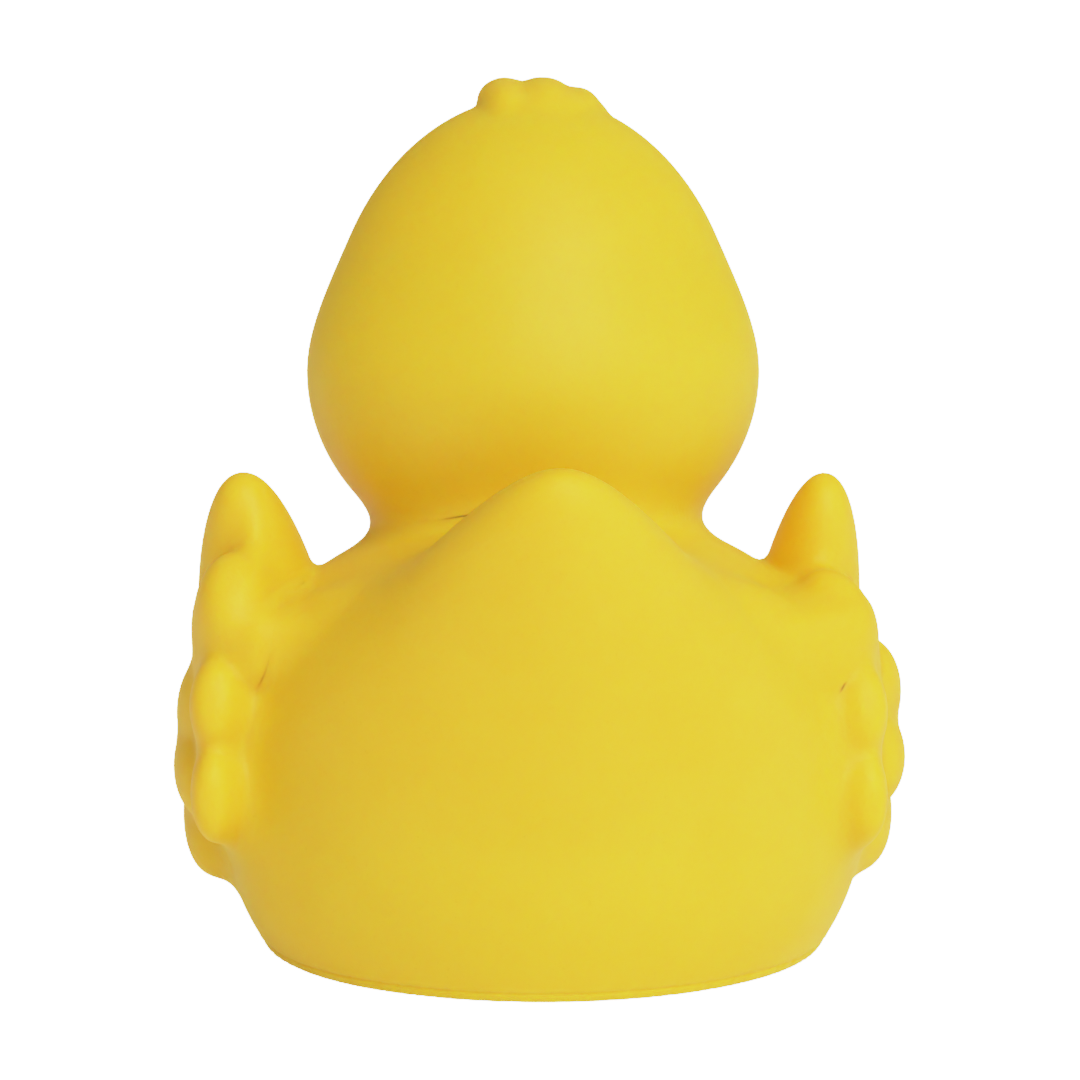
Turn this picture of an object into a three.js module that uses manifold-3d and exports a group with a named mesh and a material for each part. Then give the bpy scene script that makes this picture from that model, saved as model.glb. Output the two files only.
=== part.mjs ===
// Rubber duck: one hollow vinyl moulding with raised feathered wings, an upturned tail and a tuft.
// Millimetres, +Z up. The duck faces -Y, and the origin is under the middle of its outline, on the floor.
import * as THREE from "three";
import { mergeVertices } from "three/addons/utils/BufferGeometryUtils.js";
import Module from "manifold-3d";

const wasm = await Module();
wasm.setup();

// ---- driving dimensions -------------------------------------------------------------------------
const WALL = 2.2; // vinyl thickness
const BASE_Y = 3.2; // middle of the flat base, ahead of the tail and behind the bill
const VENT = { radius: 3, y: 2.2 }; // air hole through the base
const EDGE_BREAK = 0.8; // rounding where the flanks meet the base
const TAIL_BLEND = { foot: 2, top: 9, from: 14, to: 38 }; // how softly tail and torso meet, low and high
const SKIN_CENTRE = [0, BASE_Y + 6, 24]; // inside torso and tail, where their distances are measured from

// Each form is an egg: half widths across and deep, half heights up and down, and its middle.
const TORSO = { at: [-0.5, BASE_Y - 2.4, 17], across: 33.2, deep: 32.2, up: 27.5, down: 28.5, power: 2.3 };
const HEAD = { at: [0, BASE_Y - 12, 57.8], across: 23.3, deep: 22, up: 28.3, down: 20.5, waist: 0.07 };
const TAIL = { across: 27.5, deep: 19.5, up: 42, down: 26, taper: -0.52 };
const TAIL_TIP = { y: BASE_Y + 35.2, z: 54.6 };
const TAIL_LEAN = 36.5; // degrees back from upright
const NECK = { at: [0, BASE_Y - 9.3, 42.1], across: 16.6, deep: 14.2, hollow: 2.4, lean: 10 };

// A low ridge from the back of each shoulder down to the root of the wing's lower feathers.
const SHOULDER = { across: 4.5, deep: 4.5, up: 11, down: 11 };
const SHOULDER_PLACES = [
  { at: [25, BASE_Y + 5.2, 32], along: [0.53, -0.74, -0.42] },
  { at: [-23.7, BASE_Y + 9.6, 32.3], along: [-0.6, -0.63, -0.5] },
];

// Feathers start at the wing's root. Angle above the horizontal, reach from the root, distance of the
// root from the middle plane, lean outwards in degrees, half thickness, half width, half length,
// narrowing towards the tip, bluntness of the tip, and degrees that it flares away from the body.
const WING_ROOT = { y: BASE_Y - 14, z: 19 };
const WING_CORE = { angle: 25, reach: 22, side: 30.2, lean: 2, thick: 4.4, wide: 11, half: 15 };
const LEFT_FEATHERS = [
  { angle: 66, reach: 32.8, side: 28.2, lean: 8, thick: 6.5, wide: 7.6, half: 17, taper: -0.25 },
  { angle: 41.5, reach: 31.4, side: 29.7, lean: 1, thick: 4.6, wide: 7, half: 14, blunt: 2.8, flare: 4 },
  { angle: 19.5, reach: 29.8, side: 28.7, thick: 3.2, wide: 5.4, half: 10, blunt: 3, flare: 10 },
  { angle: -0.5, reach: 30, side: 29.2, thick: 2.8, wide: 5.5, half: 10, blunt: 3, flare: 9 },
  { angle: 28, reach: 18, side: 33.8, thick: 3.2, wide: 4.8, half: 8 },
  { angle: -4, reach: 18, side: 34.2, thick: 3.2, wide: 4.8, half: 8 },
  { angle: -42.5, reach: 15.7, side: 33.2, lean: -2, thick: 3.2, wide: 5.4, half: 7 },
];
const RIGHT_FEATHERS = [
  { angle: 66, reach: 31.9, side: 28, lean: 5, thick: 5.4, wide: 7.6, half: 17, taper: -0.22 },
  { angle: 36.5, reach: 30.5, side: 28, lean: -5, thick: 4.9, wide: 6.8, half: 12, blunt: 2.8, flare: 4 },
  { angle: 16.5, reach: 29.8, side: 28, thick: 2.8, wide: 5.3, half: 10, blunt: 3, flare: 9 },
  { angle: -2.5, reach: 30.2, side: 28.4, thick: 2.5, wide: 5.4, half: 10, blunt: 3, flare: 8 },
  { angle: 34, reach: 17.5, side: 34.4, thick: 3.2, wide: 4.8, half: 8 },
  { angle: 0, reach: 18, side: 34.6, thick: 3.2, wide: 4.8, half: 8 },
  { angle: -40, reach: 16, side: 33.6, lean: -2, thick: 3.2, wide: 5.4, half: 7 },
];

// The tuft on the crown: plump locks side by side, the last ones lower.
const LOCK = { across: 2.7, deep: 6, up: 2.6, down: 2.6, power: 2.2 };
const TUFT_Y = BASE_Y - 15;
const TUFT_PLACES = [
  [2.9, 85],
  [-1.2, 85],
  [-4.5, 84.1],
  [-5.5, 82.9],
];

// Face: a short bill in two halves, each a little tilted, and a low oval eye on each side.
const UPPER_BILL = { across: 9.6, deep: 13, up: 4.6, down: 2.8 };
const UPPER_BILL_PLACE = { at: [0, -26.6, 54], tilt: -4 };
const LOWER_BILL = { across: 8, deep: 11, up: 2.6, down: 3.4 };
const LOWER_BILL_PLACE = { at: [0, -26.8, 50.8], tilt: 3 };
const EYE = { across: 2.9, deep: 1.6, up: 4.1, down: 4.1 };
const EYE_PLACE = { x: 9.3, z: 67 };
const EYE_RELIEF = 0.45;

const UP = new THREE.Vector3(0, 0, 1);
const FORWARDS = new THREE.Vector3(0, -1, 0);
const FARTHEST = 90; // longer than any line inside the duck
const HALVINGS = 26;
const SMALL_STEP = 0.01;
const WELD_GAP = 1e-4;
const WAIST_HEIGHT = 0.5; // part of the upper half over which a waist comes in
const LEAST_WIDTH = 0.05;
const NECK_ARC = { from: 230, to: 130, step: 25 }; // degrees round the hollow of the neck
const EDGE_ARC = [0, 20, 40]; // degrees round the edge of the base

// ---- forms --------------------------------------------------------------------------------------
const radians = THREE.MathUtils.degToRad;

// A turn in degrees: lean back about X, then sideways about Y, then swing about Z.
function leant(back, sideways = 0, around = 0) {
  return new THREE.Matrix4()
    .makeRotationZ(radians(around))
    .multiply(new THREE.Matrix4().makeRotationY(radians(sideways)))
    .multiply(new THREE.Matrix4().makeRotationX(-radians(back)));
}

// The shortest turn from one direction to another.
function turnBetween(from, to) {
  const turn = new THREE.Quaternion().setFromUnitVectors(from, to);
  return new THREE.Matrix4().makeRotationFromQuaternion(turn);
}

// A form with its defaults filled in, and where it stands.
function form(sizes, at, turn = new THREE.Matrix4()) {
  const place = new THREE.Matrix4().makeTranslation(...at).multiply(turn);
  return { power: 2, taper: 0, waist: 0, ...sizes, place, toOwn: place.clone().invert() };
}

// Width of an egg at a height from -1 at its foot to 1 at its top, against a plain ellipsoid.
function eggWidth(egg, height) {
  return 1 + egg.taper * height - egg.waist * THREE.MathUtils.smoothstep(height, 0, WAIST_HEIGHT);
}

// Below 1 inside the egg, 1 on its surface, above 1 outside.
function eggLevel(egg, point) {
  const own = point.clone().applyMatrix4(egg.toOwn);
  const height = own.z / (own.z > 0 ? egg.up : egg.down);
  const width = Math.max(eggWidth(egg, THREE.MathUtils.clamp(height, -1, 1)), LEAST_WIDTH);
  const radius = Math.hypot(own.x / egg.across, own.y / egg.deep) / width;
  return Math.pow(radius, egg.power) + Math.pow(Math.abs(height), egg.power);
}

// The direction straight out of an egg's surface.
function outwardsAt(egg, point) {
  const slope = ["x", "y", "z"].map((axis) => {
    const step = new THREE.Vector3();
    step[axis] = SMALL_STEP;
    return eggLevel(egg, point.clone().add(step)) - eggLevel(egg, point.clone().sub(step));
  });
  return new THREE.Vector3(...slope).normalize();
}

// How far a line from a start inside the egg runs before it leaves it, found by halving.
function exitDistance(egg, start, direction) {
  let inside = 0;
  let outside = FARTHEST;
  for (let i = 0; i < HALVINGS; i++) {
    const middle = (inside + outside) / 2;
    if (eggLevel(egg, start.clone().addScaledVector(direction, middle)) < 1) inside = middle;
    else outside = middle;
  }
  return outside;
}

// The larger of the distances, rounded where two of them are nearly the same.
function softMax(distances, softness) {
  return distances.reduce((most, next) => {
    const mix = Math.max(softness - Math.abs(most - next), 0) / softness;
    return Math.max(most, next) + (mix * mix * softness) / 4;
  });
}

// Position only, with shared vertices merged, as a solid.
function solid(geometry) {
  const bare = geometry.clone();
  bare.deleteAttribute("normal");
  bare.deleteAttribute("uv");
  const merged = mergeVertices(bare, WELD_GAP);
  return new wasm.Manifold(
    new wasm.Mesh({
      numProp: 3,
      vertProperties: new Float32Array(merged.attributes.position.array),
      triVerts: new Uint32Array(merged.index.array),
    }),
  );
}

// A unit sphere with its poles on Z, and each vertex moved by a function of its direction.
function mapSphere(around, down, place) {
  const geometry = new THREE.SphereGeometry(1, around, down).rotateX(Math.PI / 2);
  const position = geometry.attributes.position;
  const vertex = new THREE.Vector3();
  for (let i = 0; i < position.count; i++) {
    place(vertex.fromBufferAttribute(position, i));
    position.setXYZ(i, vertex.x, vertex.y, vertex.z);
  }
  return solid(geometry);
}

// One egg as a solid of its own.
function eggSolid(egg, around = 12, down = 8) {
  const shape = 2 / egg.power;
  return mapSphere(around, down, (v) => {
    const flat = Math.hypot(v.x, v.y);
    const height = Math.sign(v.z) * Math.pow(Math.abs(v.z), shape);
    const radius = flat > 1e-6 ? (Math.pow(flat, shape) * eggWidth(egg, height)) / flat : 0;
    v.set(v.x * radius * egg.across, v.y * radius * egg.deep, height * (height > 0 ? egg.up : egg.down));
    v.applyMatrix4(egg.place);
  });
}

// Two eggs as one blended skin: in every direction the farther of the two, rounded where they meet.
function blendedSolid(eggs, around, down) {
  const centre = new THREE.Vector3(...SKIN_CENTRE);
  return mapSphere(around, down, (v) => {
    const direction = v.clone().normalize();
    const distances = eggs.map((egg) => exitDistance(egg, centre, direction));
    const height = centre.z + direction.z * Math.max(...distances);
    const rise = THREE.MathUtils.smoothstep(height, TAIL_BLEND.from, TAIL_BLEND.to);
    const softness = THREE.MathUtils.lerp(TAIL_BLEND.foot, TAIL_BLEND.top, rise);
    v.copy(centre).addScaledVector(direction, softMax(distances, softness));
  });
}

// A short column with a hollow flank, which rounds the crease between head and torso.
function neckSolid(inset) {
  const flank = [];
  for (let degrees = NECK_ARC.from; degrees >= NECK_ARC.to; degrees -= NECK_ARC.step) {
    const angle = radians(degrees);
    const out = NECK.across - inset + NECK.hollow * (1 + Math.cos(angle));
    flank.push(new THREE.Vector2(out, NECK.hollow * Math.sin(angle)));
  }
  const foot = new THREE.Vector2(0, flank[0].y);
  const top = new THREE.Vector2(0, flank[flank.length - 1].y);
  const geometry = new THREE.LatheGeometry([foot, ...flank, top], 32).rotateX(Math.PI / 2);
  geometry.scale(1, NECK.deep / NECK.across, 1);
  geometry.rotateX(radians(NECK.lean)).translate(...NECK.at);
  return solid(geometry);
}

// ---- the duck's forms ---------------------------------------------------------------------------
// The three big forms, made smaller all round by an inset.
function bodyForms(inset) {
  const shrink = (sizes) => ({
    ...sizes,
    across: sizes.across - inset,
    deep: sizes.deep - inset,
    up: sizes.up - inset,
    down: sizes.down - inset,
  });
  const lean = radians(TAIL_LEAN);
  const tailAt = [0, TAIL_TIP.y - TAIL.up * Math.sin(lean), TAIL_TIP.z - TAIL.up * Math.cos(lean)];
  return {
    torso: form(shrink(TORSO), TORSO.at),
    tail: form(shrink(TAIL), tailAt, leant(TAIL_LEAN)),
    head: form(shrink(HEAD), HEAD.at),
  };
}

// Torso, tail, neck and head as one solid, with the mesh as fine as asked.
function bodySolid(inset, around, down) {
  const { torso, tail, head } = bodyForms(inset);
  return blendedSolid([torso, tail], around, down)
    .add(neckSolid(inset))
    .add(eggSolid(head, around - 4, down - 6));
}

function shoulder({ at, along }) {
  const direction = new THREE.Vector3(...along).normalize();
  return eggSolid(form(SHOULDER, at, turnBetween(UP, direction)));
}

// One feather: an egg whose far end is at its reach from the wing's root.
function feather(spec, side) {
  const { lean = 0, taper = 0, blunt = 2.3, flare = 0 } = spec;
  const middle = spec.reach - spec.half;
  const level = middle * Math.cos(radians(spec.angle));
  const at = [
    side * (spec.side + level * Math.sin(radians(flare))),
    WING_ROOT.y + level * Math.cos(radians(flare)),
    WING_ROOT.z + middle * Math.sin(radians(spec.angle)),
  ];
  const sizes = { across: spec.thick, deep: spec.wide, up: spec.half, down: spec.half, taper, power: blunt };
  return eggSolid(form(sizes, at, leant(90 - spec.angle, side * lean, -side * flare)), 14, 10);
}

function wing(feathers, side) {
  return [WING_CORE, ...feathers].map((spec) => feather(spec, side));
}

function tuft() {
  return TUFT_PLACES.map(([x, z]) => eggSolid(form(LOCK, [x, TUFT_Y, z])));
}

function bill() {
  return [
    eggSolid(form(UPPER_BILL, UPPER_BILL_PLACE.at, leant(UPPER_BILL_PLACE.tilt)), 22, 12),
    eggSolid(form(LOWER_BILL, LOWER_BILL_PLACE.at, leant(LOWER_BILL_PLACE.tilt)), 20, 10),
  ];
}

// An eye lies flat on the head's skin, with only its relief standing out.
function eye(side) {
  const { head } = bodyForms(0);
  const start = new THREE.Vector3(side * EYE_PLACE.x, HEAD.at[1], EYE_PLACE.z);
  const foot = start.clone().addScaledVector(FORWARDS, exitDistance(head, start, FORWARDS));
  const outwards = outwardsAt(head, foot);
  const at = foot.addScaledVector(outwards, EYE_RELIEF - EYE.deep);
  return eggSolid(form(EYE, at.toArray(), turnBetween(FORWARDS, outwards)), 16, 12);
}

// Everything above the floor inside a cone that breaks the base edge.
function baseCutter() {
  const shrinkAtFloor = Math.pow(1 - Math.pow(TORSO.at[2] / TORSO.down, TORSO.power), 1 / TORSO.power);
  const radius = TORSO.across * shrinkAtFloor;
  const height = 100;
  const edge = [];
  for (const degrees of EDGE_ARC) {
    const angle = radians(degrees);
    const out = radius - EDGE_BREAK + 2 * EDGE_BREAK * Math.sin(angle);
    edge.push(new THREE.Vector2(out, 2 * EDGE_BREAK * (1 - Math.cos(angle))));
  }
  const profile = [
    new THREE.Vector2(0, 0),
    ...edge,
    new THREE.Vector2(radius + height, height),
    new THREE.Vector2(0, height),
  ];
  const geometry = new THREE.LatheGeometry(profile, 44);
  geometry.rotateX(Math.PI / 2);
  geometry.scale(1, TORSO.deep / TORSO.across, 1);
  geometry.translate(TORSO.at[0], TORSO.at[1], 0);
  return solid(geometry);
}

// The inside of the moulding: the big forms one wall in, above a floor one wall thick.
function cavity() {
  const size = 200;
  const above = new THREE.BoxGeometry(size, size, size).translate(0, 0, size / 2 + WALL);
  return bodySolid(WALL, 24, 18).intersect(solid(above));
}

function ventHole() {
  const height = 4 * WALL;
  const geometry = new THREE.CylinderGeometry(VENT.radius, VENT.radius, height, 24);
  return solid(geometry.rotateX(Math.PI / 2).translate(0, VENT.y, 0));
}

function duckBody() {
  const wings = [...wing(LEFT_FEATHERS, 1), ...wing(RIGHT_FEATHERS, -1)];
  const face = [...bill(), eye(1), eye(-1)];
  const parts = [...SHOULDER_PLACES.map(shoulder), ...wings, ...tuft(), ...face];
  const outside = parts.reduce((sum, part) => sum.add(part), bodySolid(0, 44, 32));
  return outside.intersect(baseCutter()).subtract(cavity()).subtract(ventHole());
}

// ---- the model ----------------------------------------------------------------------------------
function namedMesh(name, body, material) {
  const made = body.getMesh();
  const geometry = new THREE.BufferGeometry();
  geometry.setAttribute("position", new THREE.BufferAttribute(made.vertProperties, 3));
  geometry.setIndex(new THREE.BufferAttribute(made.triVerts, 1));
  geometry.computeVertexNormals();
  const mesh = new THREE.Mesh(geometry, material);
  mesh.name = name;
  return mesh;
}

const yellowVinyl = new THREE.MeshStandardMaterial({ color: 0xe6cf38, roughness: 0.55, metalness: 0 });

const duck = new THREE.Group();
duck.add(namedMesh("duck_body", duckBody(), yellowVinyl));

export default duck;
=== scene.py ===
"""A bath duck in soft yellow vinyl: one hollow moulding with raised wings, an upturned tail and a tuft.

Lengths in the classes are millimetres and become metres when a mesh is made. The duck faces -Y.
"""

import logging
import math
from dataclasses import dataclass, field
from enum import Enum

import bmesh
import bpy
import numpy as np
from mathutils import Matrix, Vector


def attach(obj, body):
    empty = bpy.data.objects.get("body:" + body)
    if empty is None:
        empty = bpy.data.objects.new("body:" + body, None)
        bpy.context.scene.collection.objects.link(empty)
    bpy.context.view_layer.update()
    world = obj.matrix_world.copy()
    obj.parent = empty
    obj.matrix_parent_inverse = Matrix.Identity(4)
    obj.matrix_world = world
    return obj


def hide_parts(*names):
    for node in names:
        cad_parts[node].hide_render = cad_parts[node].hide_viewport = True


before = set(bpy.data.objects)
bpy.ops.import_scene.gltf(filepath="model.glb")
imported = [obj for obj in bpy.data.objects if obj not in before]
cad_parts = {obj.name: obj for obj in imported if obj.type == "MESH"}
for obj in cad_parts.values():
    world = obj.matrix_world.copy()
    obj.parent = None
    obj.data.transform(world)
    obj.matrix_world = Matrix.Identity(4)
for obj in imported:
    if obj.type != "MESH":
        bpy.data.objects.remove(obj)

Array = np.ndarray
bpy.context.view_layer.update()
MM = 0.001
LOG = logging.getLogger("duck")
WAIST_HEIGHT = 0.5  # part of a form's upper half over which its waist comes in
LEAST_WIDTH = 0.08  # of a form that narrows, against a plain ellipsoid
TINY = 1e-9  # keeps a division from failing in the middle of a form
FAR = 10.0  # millimetres, stored where a vertex is nowhere near a painted field
STEEPEST_UNDERCUT = 0.9  # sine of the flank's slope at the base


class Side(Enum):
    """The two sides of the duck, as the sign of X."""

    LEFT = 1
    RIGHT = -1


class Paint(Enum):
    """The painted fields of the face, each with the name of its mesh attribute."""

    BILL = "bill_edge"
    EYE = "eye_edge"
    PUPIL = "pupil_edge"


# ---- forms ---------------------------------------------------------------------------------------
def turned(back: float, sideways: float = 0.0, around: float = 0.0) -> Array:
    """The turn that leans an upright form back, then sideways, then swings it around Z.

    Args:
        back: degrees from +Z towards +Y.
        sideways: degrees from +Z towards +X.
        around: degrees about Z, counter-clockwise seen from above.

    Returns:
        A 3 by 3 matrix from the form's own axes to the duck's.
    """
    b, s, a = (math.radians(v) for v in (-back, sideways, around))
    lean = np.array([[1, 0, 0], [0, math.cos(b), -math.sin(b)], [0, math.sin(b), math.cos(b)]])
    roll = np.array([[math.cos(s), 0, math.sin(s)], [0, 1, 0], [-math.sin(s), 0, math.cos(s)]])
    swing = np.array([[math.cos(a), -math.sin(a), 0], [math.sin(a), math.cos(a), 0], [0, 0, 1]])
    return swing @ roll @ lean


def ramp(values: Array, low: float, high: float) -> Array:
    """A smooth climb from 0 at low to 1 at high."""
    part = np.clip((values - low) / (high - low), 0.0, 1.0)
    return part * part * (3 - 2 * part)


def along(direction: tuple[float, float, float]) -> Array:
    """A turn that lays an upright form's own Z along a direction.

    Args:
        direction: the wanted direction, of any length.

    Returns:
        A 3 by 3 matrix from the form's own axes to the duck's.
    """
    z = np.array(direction) / np.linalg.norm(direction)
    x = np.cross((0.0, 1.0, 0.0), z)
    x = x / np.linalg.norm(x)
    return np.column_stack([x, np.cross(z, x), z])


@dataclass(frozen=True)
class Egg:
    """A rounded form: an ellipsoid whose width may change with its height.

    Attributes:
        at: its middle.
        across: half width along its own X.
        deep: half width along its own Y.
        up: half height above the middle, along its own Z.
        down: half height below the middle.
        power: 2 is a true ellipsoid, more is squarer.
        taper: change of width for each half height upwards.
        waist: width taken from the upper half.
        turn: matrix from its own axes to the duck's.
    """

    at: tuple[float, float, float]
    across: float
    deep: float
    up: float
    down: float
    power: float = 2.0
    taper: float = 0.0
    waist: float = 0.0
    turn: Array = field(default_factory=lambda: np.eye(3))

    def width(self, height: Array) -> tuple[Array, Array]:
        """Width against a plain ellipsoid, and its slope, at heights from -1 at the foot to 1 at the top.

        The width is 1 + taper * height - waist * step, where step climbs smoothly from 0 at the
        middle to 1 at half height.

        Args:
            height: heights as parts of the half height.

        Returns:
            The widths and their derivatives.
        """
        part = np.clip(height / WAIST_HEIGHT, 0.0, 1.0)
        step = ramp(height, 0.0, WAIST_HEIGHT)
        slope = 6 * part * (1 - part) / WAIST_HEIGHT
        wide = np.maximum(1 + self.taper * height - self.waist * step, LEAST_WIDTH)
        return wide, self.taper - self.waist * slope

    def surface(self, around: int = 28, rows: int = 18) -> tuple[Array, Array]:
        """The egg's skin as a function of two angles on a grid.

        A point is (across * r * cos u, deep * r * sin u, half height * h), where h is the cosine and
        r the sine of the polar angle, both raised to 2 / power, and r is multiplied by the width.

        Args:
            around: steps of the angle u about the egg's own axis.
            rows: steps of the polar angle.

        Returns:
            Vertices in millimetres and quads as vertex numbers, with the poles as rows of one point.
        """
        polar = np.linspace(0.0, np.pi, rows + 1)[:, None]
        turn = np.linspace(0.0, 2 * np.pi, around, endpoint=False)[None, :]
        height = np.sign(np.cos(polar)) * np.abs(np.cos(polar)) ** (2 / self.power)
        radius = np.abs(np.sin(polar)) ** (2 / self.power) * self.width(height)[0]
        tall = np.where(height > 0, self.up, self.down) * height
        own = np.stack(
            [
                self.across * radius * np.cos(turn),
                self.deep * radius * np.sin(turn),
                tall + 0 * turn,
            ],
            axis=-1,
        ).reshape(-1, 3)
        return own @ self.turn.T + np.array(self.at), ring_quads(rows + 1, around)[:, ::-1]

    def distance(self, points: Array) -> tuple[Array, Array]:
        """Roughly how far points are outside the egg, and the direction in which that grows.

        The level L is (radius ** power + height ** power) ** (1 / power), which is 1 on the skin,
        and the distance is (L - 1) divided by the length of L's gradient.

        Args:
            points: places in millimetres, one row each.

        Returns:
            Distances, negative inside, and unit gradients.
        """
        own = (points - np.array(self.at)) @ self.turn
        half = np.where(own[:, 2] > 0, self.up, self.down)
        height = own[:, 2] / half
        wide, slope = self.width(np.clip(height, -1.0, 1.0))
        flat = np.hypot(own[:, 0] / self.across, own[:, 1] / self.deep) + TINY
        radius = flat / wide
        n = self.power
        level = (radius**n + np.abs(height) ** n) ** (1 / n) + TINY
        by_radius = (radius / level) ** (n - 1)
        by_height = (np.abs(height) / level) ** (n - 1) * np.sign(height)
        by_height = by_height - by_radius * radius / wide * np.where(np.abs(height) < 1, slope, 0.0)
        gradient = np.stack(
            [
                by_radius * own[:, 0] / (self.across**2 * flat * wide),
                by_radius * own[:, 1] / (self.deep**2 * flat * wide),
                by_height / half,
            ],
            axis=-1,
        )
        steep = np.linalg.norm(gradient, axis=1) + TINY
        return (level - 1) / steep, (gradient / steep[:, None]) @ self.turn.T


def ring_quads(rows: int, around: int, first: int = 0) -> Array:
    """Quads between neighbouring closed rings of equally many points.

    Args:
        rows: number of rings.
        around: points in a ring.
        first: number of the first point.

    Returns:
        Vertex numbers, four a quad, wound so that rings going down face outwards.
    """
    ring = np.arange(around)
    after = (ring + 1) % around
    start = np.arange(rows - 1)[:, None] * around + first
    quads = [start + ring, start + after, start + around + after, start + around + ring]
    return np.stack(quads, axis=-1).reshape(-1, 4)


Distance = tuple[Array, Array]


def blend(one: Distance, other: Distance, softness: float | Array) -> Distance:
    """Two forms run into each other: the nearer distance, filled out where both are nearly the same.

    With m = max(softness - |a - b|, 0) / softness, the distance is min(a, b) - m * m * softness / 4.

    Args:
        one: distances and gradients of the first form.
        other: the same for the second form.
        softness: reach of the fillet in millimetres, for all points or for each.

    Returns:
        Distances and gradients of the joined form.
    """
    a, a_slope = one
    b, b_slope = other
    mix = np.maximum(softness - np.abs(a - b), 0.0) / softness
    near_a = np.where(a < b, 1 - mix / 2, mix / 2)[:, None]
    return np.minimum(a, b) - mix * mix * softness / 4, near_a * a_slope + (1 - near_a) * b_slope


def fuse(eggs: list[Egg], points: Array, softness: float | Array) -> Distance:
    """Several eggs blended one after another with the same softness.

    Args:
        eggs: the forms.
        points: places in millimetres.
        softness: reach of the fillets.

    Returns:
        Distances and gradients of the whole.
    """
    whole = eggs[0].distance(points)
    for egg in eggs[1:]:
        whole = blend(whole, egg.distance(points), softness)
    return whole


# ---- the duck's parts ----------------------------------------------------------------------------
@dataclass(frozen=True)
class Trunk:
    """Torso, tail and head, the three big forms that run softly into each other, and the shoulders."""

    base_y: float = 3.2
    tail_lean: float = 36.5
    tail_up: float = 42.0
    tail_tip_z: float = 54.6
    tail_blend: float = 9.0
    foot_blend: float = 2.0
    blend_rise: tuple[float, float] = (14.0, 38.0)
    neck_blend: float = 5.0
    shoulder_blend: float = 3.0

    def torso(self) -> Egg:
        """The belly, which the floor cuts flat."""
        return Egg((-0.5, self.base_y - 2.4, 17), 33.2, 32.2, 27.5, 28.5, power=2.3)

    def tail(self) -> Egg:
        """The rear of the body, rising to the tail's tip.

        Returns:
            A tapering form that leans back.
        """
        lean = math.radians(self.tail_lean)
        up = self.tail_up
        tip_y = self.base_y + 35.2
        at = (0, tip_y - up * math.sin(lean), self.tail_tip_z - up * math.cos(lean))
        return Egg(at, 27.5, 19.5, up, 26, taper=-0.52, turn=turned(self.tail_lean))

    def head(self) -> Egg:
        """The head, full at the cheeks and narrow at the crown."""
        return Egg((0, self.base_y - 12, 57.8), 23.3, 22, 28.3, 20.5, waist=0.07)

    def shoulder(self, side: Side) -> Egg:
        """The ridge from the back of the shoulder to the root of the wing's lower feathers.

        Args:
            side: which shoulder.

        Returns:
            A slim form that lies along the ridge.
        """
        if side is Side.LEFT:
            at, direction = (25.0, self.base_y + 5.2, 32.0), (0.53, -0.74, -0.42)
        else:
            at, direction = (-23.7, self.base_y + 9.6, 32.3), (-0.6, -0.63, -0.5)
        return Egg(at, 4.5, 4.5, 11, 11, turn=along(direction))

    def eggs(self) -> list[Egg]:
        """All of the trunk's forms."""
        return [self.torso(), self.tail(), self.head(), self.shoulder(Side.LEFT), self.shoulder(Side.RIGHT)]

    def distance(self, points: Array) -> Distance:
        """Distances and gradients of the trunk.

        Args:
            points: places in millimetres.

        Returns:
            The blended form of torso, tail, shoulders and head.
        """
        soft = self.foot_blend + (self.tail_blend - self.foot_blend) * ramp(
            points[:, 2], *self.blend_rise
        )
        body = blend(self.torso().distance(points), self.tail().distance(points), soft)
        for side in Side:
            body = blend(body, self.shoulder(side).distance(points), self.shoulder_blend)
        return blend(body, self.head().distance(points), self.neck_blend)


@dataclass(frozen=True)
class Feather:
    """One lobe of a wing, from the wing's root outwards.

    Attributes:
        angle: degrees above the horizontal, 90 is straight up.
        reach: how far its tip is from the root.
        side: distance of its root from the duck's middle plane.
        lean: degrees that it leans outwards.
        thick: half thickness.
        wide: half width.
        half: half length.
        taper: narrowing towards the tip.
        blunt: 2 for an elliptical tip, more for a blunter one.
        flare: degrees that it points away from the body.
    """

    angle: float
    reach: float
    side: float
    lean: float
    thick: float
    wide: float
    half: float
    taper: float = 0.0
    blunt: float = 2.3
    flare: float = 0.0


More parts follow.
